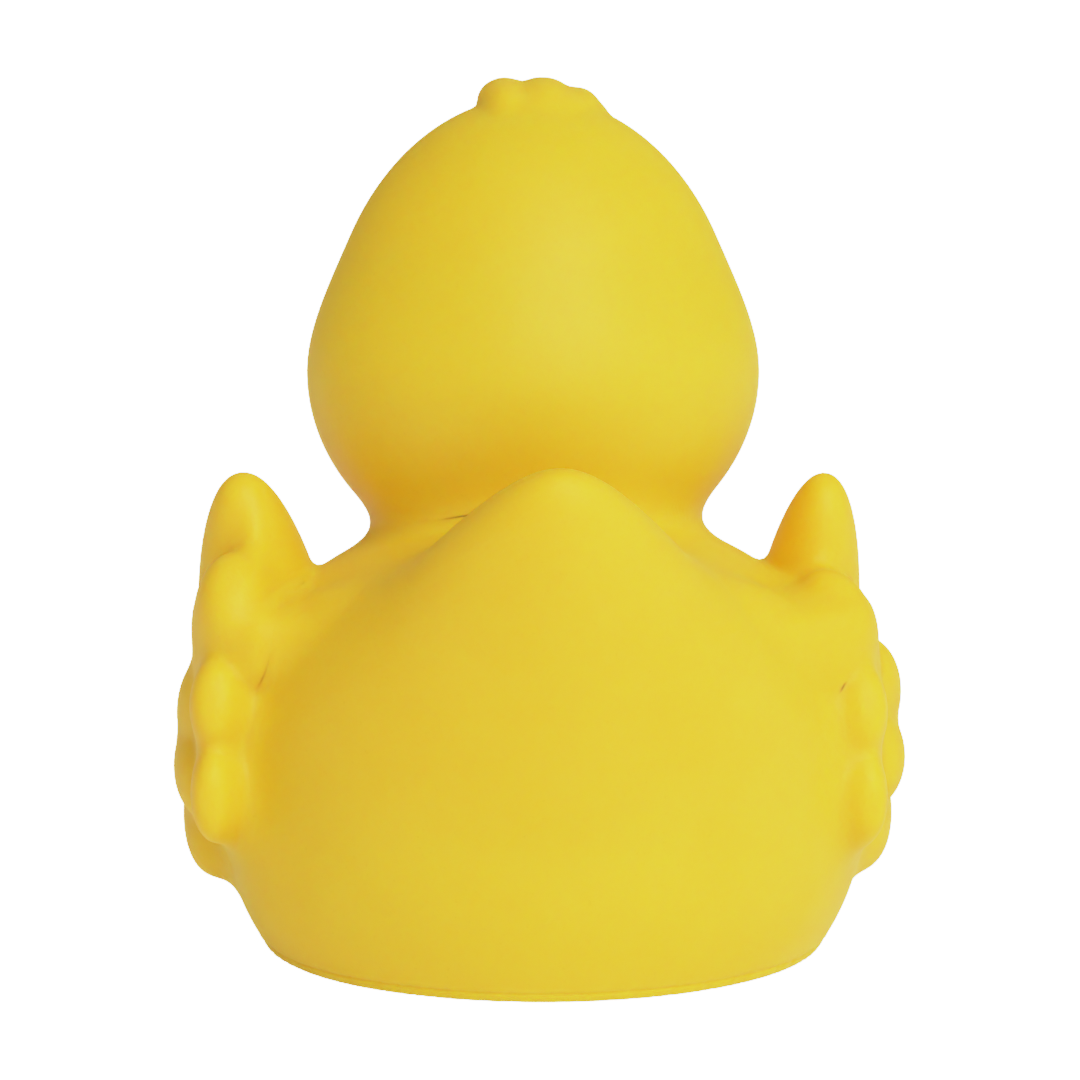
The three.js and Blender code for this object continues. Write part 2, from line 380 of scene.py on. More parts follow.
@dataclass(frozen=True)
class Wing:
    """A raised wing: long feathers fanned behind and above, short ones over their roots.

    Attributes:
        side: which side of the duck it is on.
        long_feathers: the feathers fanned behind and above, the top one first.
        short_feathers: the feathers over their roots.
        root_y: place of the root along the duck.
        root_z: height of the root.
        core: the form that all feathers grow from.
        long_blend: fillet between long feathers.
        inner_blend: the same on the inner side of the upper ones.
        short_blend: fillet round the short feathers.
        core_blend: fillet between feathers and core.
        inner_side: distances from the middle plane over which the inner side ends.
        inner_rise: heights over which the inner side begins.
    """

    side: Side
    long_feathers: tuple[Feather, ...]
    short_feathers: tuple[Feather, ...]
    root_y: float = -10.8
    root_z: float = 19.0
    core: Feather = Feather(25, 22, 30.2, 2, 4.4, 11, 15)
    long_blend: float = 1.6
    inner_blend: float = 7.0
    short_blend: float = 1.0
    core_blend: float = 3.0
    inner_side: tuple[float, float] = (28.5, 32.5)
    inner_rise: tuple[float, float] = (27.0, 32.0)

    def egg(self, spec: Feather) -> Egg:
        """One feather as a form in its place.

        Args:
            spec: the feather's sizes.

        Returns:
            A form whose top is the feather's tip.
        """
        angle, flare = math.radians(spec.angle), math.radians(spec.flare)
        middle = spec.reach - spec.half
        level = middle * math.cos(angle)
        at = (
            self.side.value * (spec.side + level * math.sin(flare)),
            self.root_y + level * math.cos(flare),
            self.root_z + middle * math.sin(angle),
        )
        turn = turned(90 - spec.angle, self.side.value * spec.lean, -self.side.value * spec.flare)
        return Egg(at, spec.thick, spec.wide, spec.half, spec.half, spec.blunt, spec.taper, 0.0, turn)

    def eggs(self) -> list[Egg]:
        """The core and all feathers."""
        return [self.egg(spec) for spec in (self.core, *self.long_feathers, *self.short_feathers)]

    def distance(self, points: Array) -> Distance:
        """Distances and gradients of the blended feathers and core.

        The two upper feathers run softly into each other on their inner side only.

        Args:
            points: places in millimetres.

        Returns:
            The blended form of the wing.
        """
        beside = 1 - ramp(np.abs(points[:, 0]), *self.inner_side)
        inner = beside * ramp(points[:, 2], *self.inner_rise)
        soft = self.long_blend + (self.inner_blend - self.long_blend) * inner
        long = fuse([self.egg(spec) for spec in self.long_feathers], points, soft)
        short = fuse([self.egg(spec) for spec in self.short_feathers], points, self.short_blend)
        feathers = blend(long, short, self.short_blend)
        return blend(feathers, self.egg(self.core).distance(points), self.core_blend)


LEFT_WING = Wing(
    Side.LEFT,
    inner_blend=7.0,
    long_feathers=(
        Feather(66, 32.8, 28.2, 8, 6.5, 7.6, 17, -0.25),
        Feather(41.5, 31.4, 29.7, 1, 4.6, 7.0, 14, 0.0, 2.8, 4),
        Feather(19.5, 29.8, 28.7, 0, 3.2, 5.4, 10, 0.0, 3.0, 10),
        Feather(-0.5, 30.0, 29.2, 0, 2.8, 5.5, 10, 0.0, 3.0, 9),
    ),
    short_feathers=(
        Feather(28, 18, 33.8, 0, 3.2, 4.8, 8),
        Feather(-4, 18, 34.2, 0, 3.2, 4.8, 8),
        Feather(-42.5, 15.7, 33.2, -2, 3.2, 5.4, 7),
    ),
)
RIGHT_WING = Wing(
    Side.RIGHT,
    inner_blend=3.5,
    long_feathers=(
        Feather(66, 31.9, 28.0, 5, 5.4, 7.6, 17, -0.22),
        Feather(36.5, 30.5, 28.0, -5, 4.9, 6.8, 12, 0.0, 2.8, 4),
        Feather(16.5, 29.8, 28.0, 0, 2.8, 5.3, 10, 0.0, 3.0, 9),
        Feather(-2.5, 30.2, 28.4, 0, 2.5, 5.4, 10, 0.0, 3.0, 8),
    ),
    short_feathers=(
        Feather(34, 17.5, 34.4, 0, 3.2, 4.8, 8),
        Feather(0, 18, 34.6, 0, 3.2, 4.8, 8),
        Feather(-40, 16, 33.6, -2, 3.2, 5.4, 7),
    ),
)


@dataclass(frozen=True)
class Tuft:
    """Plump locks side by side on the crown, the last ones lower."""

    y: float = -11.8
    places: tuple[tuple[float, float], ...] = ((2.9, 85.0), (-1.2, 85.0), (-4.5, 84.1), (-5.5, 82.9))
    across: float = 2.7
    deep: float = 6.0
    tall: float = 2.6
    power: float = 2.2
    lock_blend: float = 0.5

    def eggs(self) -> list[Egg]:
        """The locks, longer from front to back than they are wide.

        Returns:
            One form for each lock.
        """
        return [
            Egg((x, self.y, z), self.across, self.deep, self.tall, self.tall, self.power)
            for x, z in self.places
        ]

    def distance(self, points: Array) -> Distance:
        """Distances and gradients of the blended locks."""
        return fuse(self.eggs(), points, self.lock_blend)


@dataclass(frozen=True)
class Bill:
    """A short flat bill in two halves, with a soft groove for the mouth."""

    tip_y: float = -39.2
    height: float = 54.0
    mouth_blend: float = 0.7

    def eggs(self) -> list[Egg]:
        """The two halves of the bill.

        Returns:
            The upper half, then the lower.
        """
        upper = Egg((0, self.tip_y + 12.6, self.height), 9.6, 13, 4.6, 2.8, turn=turned(-4))
        lower = Egg((0, self.tip_y + 12.4, self.height - 3.2), 8, 11, 2.6, 3.4, turn=turned(3))
        return [upper, lower]

    def distance(self, points: Array) -> Distance:
        """Distances and gradients of the two halves together."""
        return fuse(self.eggs(), points, self.mouth_blend)


@dataclass(frozen=True)
class Eye:
    """An oval eye in low relief with a dark pupil, one on each side.

    Attributes:
        x: distance from the duck's middle plane.
        z: height.
        across: half width.
        tall: half height.
        thick: half thickness, most of it inside the head.
        relief: how far it stands out.
        pupil_wide: the pupil's width against the eye's.
        pupil_tall: the pupil's height against the eye's.
        pupil_drop: how far the pupil's middle is below the eye's, in millimetres.
        steps: rounds in which its place on the head is found.
    """

    x: float = 9.3
    z: float = 67.0
    across: float = 2.9
    tall: float = 4.1
    thick: float = 1.6
    relief: float = 0.45
    pupil_wide: float = 0.66
    pupil_tall: float = 0.68
    pupil_drop: float = 0.5
    steps: int = 12

    def egg(self, head: Egg, side: Side) -> Egg:
        """The eye's form, sunk into the head until only its relief stands out.

        Args:
            head: the form that it sits on.
            side: which eye.

        Returns:
            A flat egg whose own Y points out of the head.
        """
        foot = self.on_head(head, side)
        normal = head.distance(foot[None, :])[1][0]
        around = math.degrees(math.atan2(normal[0], -normal[1]))
        rise = math.degrees(math.asin(normal[2]))
        at = foot - normal * (self.thick - self.relief)
        turn = turned(0, 0, around) @ turned(rise)
        return Egg(tuple(at), self.across, self.thick, self.tall, self.tall, turn=turn)

    def on_head(self, head: Egg, side: Side) -> Array:
        """The point of the head's skin straight in front of the eye's place.

        Args:
            head: the form that it sits on.
            side: which eye.

        Returns:
            The point in millimetres.
        """
        point = np.array([[side.value * self.x, head.at[1] - head.deep, self.z]])
        for _ in range(self.steps):
            gap, slope = head.distance(point)
            point[:, 1] -= gap / slope[:, 1]
        return point[0]

    def eggs(self, head: Egg) -> list[Egg]:
        """Both eyes."""
        return [self.egg(head, side) for side in Side]


@dataclass(frozen=True)
class Duck:
    """All outer forms of the duck and how they run together.

    Attributes:
        trunk: torso, tail, head and shoulders.
        wings: the left and the right wing.
        tuft: the locks on the crown.
        bill: the bill.
        eye: the eyes.
        tuft_back_blend: fillet at the middle of the tuft.
        tuft_side_blend: fillet at its sides.
        tuft_sides: distances from the middle plane over which one gives way to the other.
        bill_blend: fillet round the bill.
        eye_blend: fillet round the eyes.
        notch_blend: fillet between wings and body at the top.
        flank_blend: the same below.
        back_blend: the same behind the shoulder.
        notch_rise: heights over which the notch begins.
        back_start: places along the duck over which the fillet behind the shoulder begins.
        back_end: heights over which it ends.
    """

    trunk: Trunk = field(default_factory=Trunk)
    wings: tuple[Wing, ...] = (LEFT_WING, RIGHT_WING)
    tuft: Tuft = field(default_factory=Tuft)
    bill: Bill = field(default_factory=Bill)
    eye: Eye = field(default_factory=Eye)
    tuft_back_blend: float = 3.5
    tuft_side_blend: float = 0.5
    tuft_sides: tuple[float, float] = (3.0, 6.0)
    bill_blend: float = 1.0
    eye_blend: float = 0.3
    notch_blend: float = 1.6
    flank_blend: float = 4.2
    back_blend: float = 7.0
    notch_rise: tuple[float, float] = (29.0, 36.0)
    back_start: tuple[float, float] = (-1.0, 7.0)
    back_end: tuple[float, float] = (36.0, 39.5)

    def eggs(self) -> list[Egg]:
        """Every outer form.

        Returns:
            The forms of trunk, wings, tuft and face.
        """
        wings = [egg for wing in self.wings for egg in wing.eggs()]
        face = self.bill.eggs() + self.eye.eggs(self.trunk.head())
        return self.trunk.eggs() + wings + self.tuft.eggs() + face

    def distance(self, points: Array) -> Distance:
        """Distances and gradients of the whole skin.

        The wings meet the body in a tight notch at the top and run softly into the flanks below.

        Args:
            points: places in millimetres.

        Returns:
            Distances, negative inside the vinyl, and gradients.
        """
        whole = self.trunk.distance(points)
        top = ramp(points[:, 2], *self.notch_rise)
        back = ramp(points[:, 1], *self.back_start)
        soft = self.flank_blend + top * (self.notch_blend - self.flank_blend)
        below = 1 - ramp(points[:, 2], *self.back_end)
        soft = soft + top * back * below * (self.back_blend - self.notch_blend)
        for wing in self.wings:
            whole = blend(whole, wing.distance(points), soft)
        beside = ramp(np.abs(points[:, 0]), *self.tuft_sides)
        soft = self.tuft_back_blend + (self.tuft_side_blend - self.tuft_back_blend) * beside
        whole = blend(whole, self.tuft.distance(points), soft)
        whole = blend(whole, self.bill.distance(points), self.bill_blend)
        eyes = fuse(self.eye.eggs(self.trunk.head()), points, self.eye_blend)
        return blend(whole, eyes, self.eye_blend)


# ---- the moulded skin ----------------------------------------------------------------------------
@dataclass(frozen=True)
class AirSpace:
    """The hollow inside, as ovals stacked from the floor to the crown.

    Each station is height, half width, half depth and how far its middle is from the torso's.
    """

    stations: tuple[tuple[float, float, float, float], ...] = (
        (2.2, 26.0, 25.0, 0.0),
        (5.0, 28.0, 27.2, 0.0),
        (10.0, 29.6, 28.6, 0.0),
        (17.0, 30.2, 29.2, 0.0),
        (26.0, 28.4, 27.4, 0.0),
        (33.0, 23.6, 22.6, -1.5),
        (38.0, 17.0, 14.8, -4.5),
        (42.0, 12.9, 11.0, -7.0),
        (46.0, 15.0, 13.6, -8.6),
        (51.0, 18.6, 17.4, -9.6),
        (58.0, 21.0, 19.7, -9.6),
        (66.0, 18.8, 17.9, -9.6),
        (74.0, 14.6, 14.2, -9.6),
        (80.0, 10.0, 9.8, -9.6),
        (83.0, 5.0, 4.9, -9.6),
    )

    def rows(self, angles: Array, middle_y: float, count: int) -> Array:
        """Rings of the hollow's wall, following a smooth line through the stations.

        Args:
            angles: directions about the vertical axis of the points of a ring.
            middle_y: the torso's middle.
            count: number of rings.

        Returns:
            Points in millimetres with the shape (count, number of angles, 3).
        """
        table = np.array(self.stations)
        at = np.linspace(0.0, 1.0, count) * (len(table) - 1)
        low = np.minimum(at.astype(int), len(table) - 2)
        part = at - low
        ends = np.concatenate([table[:1], table, table[-1:]])
        p0, p1, p2, p3 = (ends[low + shift] for shift in range(4))
        t = part[:, None]
        smooth = 0.5 * (
            2 * p1
            + (p2 - p0) * t
            + (2 * p0 - 5 * p1 + 4 * p2 - p3) * t**2
            + (3 * p1 - p0 - 3 * p2 + p3) * t**3
        )
        z, wide, deep, shift = (smooth[:, i : i + 1] for i in range(4))
        x = wide * np.cos(angles)
        y = deep * np.sin(angles) + middle_y + shift
        return np.stack([x, y, z + 0 * x], axis=-1)


@dataclass(frozen=True)
class VinylSkin:
    """The duck's one moulded skin: fused outside, flat base with a vent hole, and the hollow inside.

    Attributes:
        duck: the outer forms.
        air: the hollow.
        voxel: size of the remesh's cells.
        big_form: half size above which a form gets the finer of the two meshes.
        fine: steps around and along a big form.
        coarse: the same for a small form.
        rounds: how often the mesh is evened out.
        longest_step: how far a vertex is moved to the skin at once.
        flattest: least squared length of a gradient in such a step.
        rim: height at which the remeshed skin ends and the rings begin.
        rim_snap: how near a vertex is to the rim to be moved to it, as a part of a cell.
        groove: heights and depths of the shallow line above the base.
        edge: height of the rounded edge of the base.
        edge_rows: rings of that edge.
        wall: thickness of the floor.
        vent_radius: radius of the vent hole.
        vent_y: place of the vent hole along the duck.
        floor_rows: steps from the edge of the base to the vent.
        air_rows: rings of the hollow.
        crown_rise: height of the hollow's cap.
        sharp_angle: degrees past which an edge stays sharp.
        paint_ahead: how far ahead of the base's middle the painted fields begin.
        bill_margin: how far the bill's paint reaches over its edge.
        eye_margin: the same for the eyes.
        eye_join: softness in which the two eyes are taken together.
    """

    duck: Duck
    air: AirSpace = field(default_factory=AirSpace)
    voxel: float = 0.6
    quick_voxel: float = 1.1
    big_form: float = 16.0
    fine: tuple[int, int] = (72, 48)
    coarse: tuple[int, int] = (36, 24)
    rounds: int = 7
    longest_step: float = 1.5
    flattest: float = 0.25
    rim: float = 1.4
    rim_snap: float = 0.22
    groove: tuple[tuple[float, float], ...] = (
        (1.25, 0.07),
        (1.12, 0.15),
        (1.0, 0.15),
        (0.88, 0.05),
        (0.75, 0.0),
    )
    edge: float = 0.4
    edge_rows: int = 5
    wall: float = 2.2
    vent_radius: float = 3.0
    vent_y: float = 2.2
    floor_rows: int = 16
    air_rows: int = 56
    crown_rise: float = 0.6
    sharp_angle: float = 50.0
    paint_ahead: float = 14.0
    bill_margin: float = 0.25
    eye_margin: float = 0.1
    eye_join: float = 0.01

    def build(self) -> bpy.types.Object:
        """Makes the whole closed skin as one object.

        Returns:
            The object, with its place in its mesh and the paint fields as attributes.
        """
        points, quads = self.fused_surface()
        points = self.settle(points, quads)
        mesh = self.cut_at_rim(points, quads)
        points, outer, inner = self.close_below(mesh)
        bpy.data.meshes.remove(mesh)
        return self.finished_object(points, outer, inner)

    def fused_surface(self) -> tuple[Array, Array]:
        """All forms as one even mesh of quads, by a voxel remesh of their separate surfaces.

        Returns:
            Vertices in millimetres and quads.
        """
        points, quads, first = [], [], 0
        for egg in self.duck.eggs():
            size = max(egg.across, egg.deep, egg.up)
            vertices, faces = egg.surface(*(self.fine if size > self.big_form else self.coarse))
            points.append(vertices)
            quads.append(faces + first)
            first += len(vertices)
        mesh = bpy.data.meshes.new("loose_forms")
        mesh.from_pydata((np.concatenate(points) * MM).tolist(), [], np.concatenate(quads).tolist())
        weld(mesh, 1e-6)
        holder = bpy.data.objects.new("loose_forms", mesh)
        bpy.context.collection.objects.link(holder)
        remesh = holder.modifiers.new("fuse", "REMESH")
        remesh.mode = "VOXEL"
        remesh.voxel_size = self.voxel * MM
        fused = bpy.data.meshes.new_from_object(
            holder.evaluated_get(bpy.context.evaluated_depsgraph_get())
        )
        bpy.data.objects.remove(holder)
        bpy.data.meshes.remove(mesh)
        made = read_points(fused) / MM
        faces = np.empty(len(fused.loops), dtype=np.int64)
        fused.loops.foreach_get("vertex_index", faces)
        bpy.data.meshes.remove(fused)
        return made, faces.reshape(-1, 4)

    def settle(self, points: Array, quads: Array) -> Array:
        """Evens out the mesh and puts every vertex exactly on the blended skin.

        Each round moves a vertex half way to the mean of its neighbours, then twice by the
        distance to the skin against its gradient.

        Args:
            points: vertices in millimetres.
            quads: faces.

        Returns:
            The settled vertices.
        """
        pairs = np.concatenate([quads[:, [i, (i + 1) % 4]] for i in range(4)])
        count = np.bincount(pairs[:, 0], minlength=len(points))[:, None]
        for _ in range(self.rounds):
            nearby = [
                np.bincount(pairs[:, 0], weights=points[pairs[:, 1], axis], minlength=len(points))
                for axis in range(3)
            ]
            points = 0.5 * points + 0.5 * np.stack(nearby, axis=1) / count
            for _ in range(2):
                gap, slope = self.duck.distance(points)
                steep = np.maximum((slope * slope).sum(axis=1), self.flattest)
                step = np.clip(gap, -self.longest_step, self.longest_step)
                points = points - slope * (step / steep)[:, None]
        return points

    def cut_at_rim(self, points: Array, quads: Array) -> bpy.types.Mesh:
        """Takes off everything below the rim's upper edge.

        Args:
            points: vertices in millimetres.
            quads: faces.

        Returns:
            The open mesh above the rim, in millimetres.
        """
        mesh = bpy.data.meshes.new("open_skin")
        mesh.from_pydata(points.tolist(), [], quads.tolist())
        work = bmesh.new()
        work.from_mesh(mesh)
        bmesh.ops.bisect_plane(
            work,
            geom=work.verts[:] + work.edges[:] + work.faces[:],
            dist=self.rim_snap * self.voxel,
            plane_co=(0, 0, self.rim),
            plane_no=(0, 0, 1),
            use_snap_center=True,
            clear_inner=True,
        )
        work.to_mesh(mesh)
        work.free()
        return mesh

    def close_below(
        self, mesh: bpy.types.Mesh
    ) -> tuple[Array, list[tuple[int, ...]], list[tuple[int, ...]]]:
        """Adds the shallow line, the rounded edge, the base, the vent hole and the hollow, ring by ring.

        The edge's arc starts in the flank's own slope s and turns to level: a point at angle a is
        moved in by radius * (cos s - cos a) and lies at radius * (1 - sin a).

        Args:
            mesh: the open mesh above the rim.

        Returns:
            Vertices, the faces above the rim, and all other faces.
        """
        points = read_points(mesh)
        loop = self.rim_loop(points)
        middle = np.array([0.0, self.duck.trunk.torso().at[1]])
        ring = points[loop]
        flat = ring[:, :2] - middle
        angles = np.arctan2(flat[:, 1], flat[:, 0])
        slope = self.duck.distance(ring)[1]
        outwards = slope[:, :2] / np.linalg.norm(slope[:, :2], axis=1)[:, None]
        undercut = -slope[:, 2] / np.linalg.norm(slope, axis=1)
        start = np.arcsin(np.clip(undercut, 0.0, STEEPEST_UNDERCUT))
        radius = self.edge / (1 - np.sin(start))
        rings = []
        for height, inset in (*self.groove, (self.edge, 0.0)):
            inwards = (self.rim - height) * np.tan(start) + inset
            place = ring[:, :2] - outwards * inwards[:, None]
            rings.append(np.column_stack([place, np.full(len(loop), height)]))
        foot = rings[-1][:, :2]
        for part in np.linspace(0.0, 1.0, self.edge_rows + 1)[1:]:
            angle = start + (np.pi / 2 - start) * part
            inwards = radius * (np.cos(start) - np.cos(angle))
            place = foot - outwards * inwards[:, None]
            rings.append(np.column_stack([place, radius * (1 - np.sin(angle))]))
        vent = np.array([0.0, self.vent_y])
        circle = vent + self.vent_radius * np.column_stack([np.cos(angles), np.sin(angles)])
        edge = rings[-1][:, :2]
        for part in np.linspace(0.0, 1.0, self.floor_rows)[1:]:
            rings.append(np.column_stack([edge + (circle - edge) * part, np.zeros(len(loop))]))
        rings.append(np.column_stack([circle, np.full(len(loop), self.wall)]))
        air = self.air.rows(angles, middle[1], self.air_rows)
        for part in np.linspace(0.0, 1.0, self.floor_rows)[1:-1]:
            place = circle + (air[0, :, :2] - circle) * part
            rings.append(np.column_stack([place, np.full(len(loop), self.wall)]))
        rings.extend(air)
        first = len(points)
        crown = air[-1].mean(axis=0) + np.array([0.0, 0.0, self.crown_rise])
        points = np.concatenate([points, *rings, crown[None, :]])
        outer, inner = self.faces_below(mesh, loop, first, len(rings))
        return points, outer, inner

    def rim_loop(self, points: Array) -> Array:
        """The open edge, ordered around the vertical axis.

        Args:
            points: vertices of the open mesh in millimetres.

        Returns:
            The numbers of the edge's vertices.
        """
        loop = np.flatnonzero(np.abs(points[:, 2] - self.rim) < 1e-4)
        middle_y = self.duck.trunk.torso().at[1]
        return loop[np.argsort(np.arctan2(points[loop, 1] - middle_y, points[loop, 0]))]

    def faces_below(
        self, mesh: bpy.types.Mesh, loop: Array, first: int, rows: int
    ) -> tuple[list[tuple[int, ...]], list[tuple[int, ...]]]:
        """Faces of the open mesh, of the rings under it, and of the cap at the inner crown.

        Args:
            mesh: the open mesh above the rim.
            loop: vertex numbers of its edge, in order.
            first: number of the first ring vertex.
            rows: number of rings.

        Returns:
            The outer faces, then the faces of rings and cap.
        """
        outer = [tuple(face.vertices) for face in mesh.polygons]
        around = len(loop)
        after = np.roll(np.arange(around), -1)
        top = np.stack([loop, loop[after], first + after, first + np.arange(around)], axis=1)
        rings = ring_quads(rows, around, first)
        last = first + (rows - 1) * around
        pole = np.full(around, last + around)
        cap = np.stack([last + np.arange(around), last + after, pole], axis=1)
        inner = [*map(tuple, top.tolist()), *map(tuple, rings.tolist()), *map(tuple, cap.tolist())]
        return outer, inner

    def finished_object(
        self, points: Array, outer: list[tuple[int, ...]], inner: list[tuple[int, ...]]
    ) -> bpy.types.Object:
        """The closed skin as an object with smooth shading and the paint fields.

        Args:
            points: vertices in millimetres.
            outer: faces above the rim.
            inner: all other faces.

        Returns:
            The linked object.
        """
        mesh = bpy.data.meshes.new("vinyl_skin")
        mesh.from_pydata((points * MM).tolist(), [], outer + inner)
        mesh.validate()
        work = bmesh.new()
        work.from_mesh(mesh)
        bmesh.ops.recalc_face_normals(work, faces=work.faces[:])
        work.to_mesh(mesh)
        work.free()
        mesh.shade_smooth()
        mesh.set_sharp_from_angle(angle=math.radians(self.sharp_angle))
        self.add_paint_fields(mesh)
        skin = bpy.data.objects.new("vinyl_skin", mesh)
        bpy.context.collection.objects.link(skin)
        return skin

    def add_paint_fields(self, mesh: bpy.types.Mesh) -> None:
        """Stores for each vertex how far it is from each painted field, in millimetres.

        Args:
            mesh: the finished mesh, in metres.
        """
        points = read_points(mesh) / MM
        head = self.duck.trunk.head()
        facing = points[:, 1] < self.duck.trunk.base_y - self.paint_ahead
        outline = {
            Paint.BILL: self.duck.bill.distance(points)[0] - self.bill_margin,
            Paint.EYE: fuse(self.duck.eye.eggs(head), points, self.eye_join)[0] - self.eye_margin,
            Paint.PUPIL: self.pupil_distance(points, head),
        }
        for paint, distance in outline.items():
            layer = mesh.attributes.new(paint.value, "FLOAT", "POINT")
            values = np.where(facing, distance, FAR)
            layer.data.foreach_set("value", values.astype(np.float32))

    def pupil_distance(self, points: Array, head: Egg) -> Array:
        """Distance from the oval pupils, seen along each eye's own outward axis.

        Args:
            points: places in millimetres.
            head: the form that the eyes sit on.

        Returns:
            Distances in millimetres, negative inside a pupil.
        """
        eye = self.duck.eye
        nearest = np.full(len(points), FAR)
        for side in Side:
            egg = eye.egg(head, side)
            own = (points - np.array(egg.at)) @ egg.turn
            beside = own[:, 0] / (egg.across * eye.pupil_wide)
            above = (own[:, 2] + eye.pupil_drop) / (egg.up * eye.pupil_tall)
            oval = np.hypot(beside, above)
            nearest = np.minimum(nearest, (oval - 1) * egg.across * eye.pupil_wide)
        return nearest


def weld(mesh: bpy.types.Mesh, reach: float) -> None:
    """Joins vertices that lie on the same place, such as the poles of a form.

    Args:
        mesh: the mesh to change.
        reach: largest gap to close.
    """
    work = bmesh.new()
    work.from_mesh(mesh)
    bmesh.ops.remove_doubles(work, verts=work.verts[:], dist=reach)
    work.to_mesh(mesh)
    work.free()


def read_points(mesh: bpy.types.Mesh) -> Array:
    """A mesh's vertices as an array.

    Args:
        mesh: the mesh to read.

    Returns:
        One row of three coordinates for each vertex, in the mesh's own unit.
    """
    flat = np.empty(len(mesh.vertices) * 3)
    mesh.vertices.foreach_get("co", flat)
    return flat.reshape(-1, 3)


# ---- finishes ------------------------------------------------------------------------------------
class NodeTree:
    """A thin hand on a shader node tree: makes nodes and joins them in one call."""

    def __init__(self, tree: bpy.types.NodeTree) -> None:
        """Keeps the tree that the nodes go in."""
        self.tree = tree

    def node(
        self, kind: str, inputs: dict[str | int, object] | None = None, **settings: object
    ) -> bpy.types.Node:
        """Adds a node.

        Args:
            kind: Blender's name of the node type.
            inputs: sockets to set, each with a value or with another node's output socket.
            settings: properties of the node itself.

        Returns:
            The new node.
        """
        made = self.tree.nodes.new(kind)
        for name, value in settings.items():
            setattr(made, name, value)
        for name, value in (inputs or {}).items():
            if isinstance(value, bpy.types.NodeSocket):
                self.tree.links.new(value, made.inputs[name])
            else:
                made.inputs[name].default_value = value
        return made

    def mix(self, part: object, one: object, other: object) -> bpy.types.NodeSocket:
        """Mixes two colours.

        Args:
            part: how much of the second colour, from 0 to 1.
            one: the first colour.
            other: the second colour.

        Returns:
            The result socket.
        """
        made = self.node("ShaderNodeMix", data_type="RGBA")
        for index, value in ((0, part), (6, one), (7, other)):
            if isinstance(value, bpy.types.NodeSocket):
                self.tree.links.new(value, made.inputs[index])
            else:
                made.inputs[index].default_value = value
        return made.outputs[2]

    def math(self, operation: str, one: object, other: object = 0.0) -> bpy.types.NodeSocket:
        """A Math node's result socket."""
        return self.node("ShaderNodeMath", {0: one, 1: other}, operation=operation).outputs[0]

    def noise(self, where: object, scale: object, detail: float) -> bpy.types.NodeSocket:
        """A noise texture's value socket."""
        inputs = {"Vector": where, "Scale": scale, "Detail": detail}
        return self.node("ShaderNodeTexNoise", inputs).outputs[0]

    def span(
        self, value: object, low: float, high: float, to_low: float, to_high: float
    ) -> bpy.types.NodeSocket:
        """Maps a value smoothly from one range to another, clamped at both ends."""
        inputs = {0: value, 1: low, 2: high, 3: to_low, 4: to_high}
        return self.node("ShaderNodeMapRange", inputs, interpolation_type="SMOOTHSTEP").outputs[0]


def rgba(red: float, green: float, blue: float) -> tuple[float, float, float, float]:
    """A linear colour with full alpha."""
    return (red, green, blue, 1.0)


@dataclass(frozen=True)
class MouldGrain:
    """The fine grain that a blasted mould leaves in vinyl, and a slow drift of tone.

    Attributes:
        scale: fineness of the grain.
        drift_scale: fineness of the drift.
        coarse_part: fineness of a coarser grain, against the fine one's.
        coarse_height: its height, against the fine one's.
        tone_range: noise values between which the tone drifts.
        speckle_range: noise values over which a speckle comes in.
    """

    scale: float = 2600.0
    drift_scale: float = 55.0
    coarse_part: float = 0.22
    coarse_height: float = 0.8
    tone_range: tuple[float, float] = (0.35, 0.65)
    speckle_range: tuple[float, float] = (0.62, 0.78)

    def group(self) -> bpy.types.NodeTree:
        """Builds the node group.

        Returns:
            A group with inputs Scale and Drift Scale and outputs Height, Tone and Speckle.
        """
        group = bpy.data.node_groups.new("mould_grain", "ShaderNodeTree")
        face = group.interface
        for name, value in (("Scale", self.scale), ("Drift Scale", self.drift_scale)):
            socket = face.new_socket(name, in_out="INPUT", socket_type="NodeSocketFloat")
            socket.default_value = value
        for name in ("Height", "Tone", "Speckle"):
            face.new_socket(name, in_out="OUTPUT", socket_type="NodeSocketFloat")
        make = NodeTree(group)
        given = make.node("NodeGroupInput")
        where = make.node("ShaderNodeTexCoord").outputs["Object"]
        fine = make.noise(where, given.outputs["Scale"], 3.0)
        coarse_scale = make.math("MULTIPLY", given.outputs["Scale"], self.coarse_part)
        coarse = make.noise(where, coarse_scale, 2.0)
        low_bumps = make.math("MULTIPLY", coarse, self.coarse_height)
        height = make.math("ADD", fine, low_bumps)
        drift = make.noise(where, given.outputs["Drift Scale"], 2.0)
        tone = make.span(drift, *self.tone_range, 0.0, 1.0)
        speckle = make.span(fine, *self.speckle_range, 0.0, 1.0)
        make.node("NodeGroupOutput", {"Height": height, "Tone": tone, "Speckle": speckle})
        return group


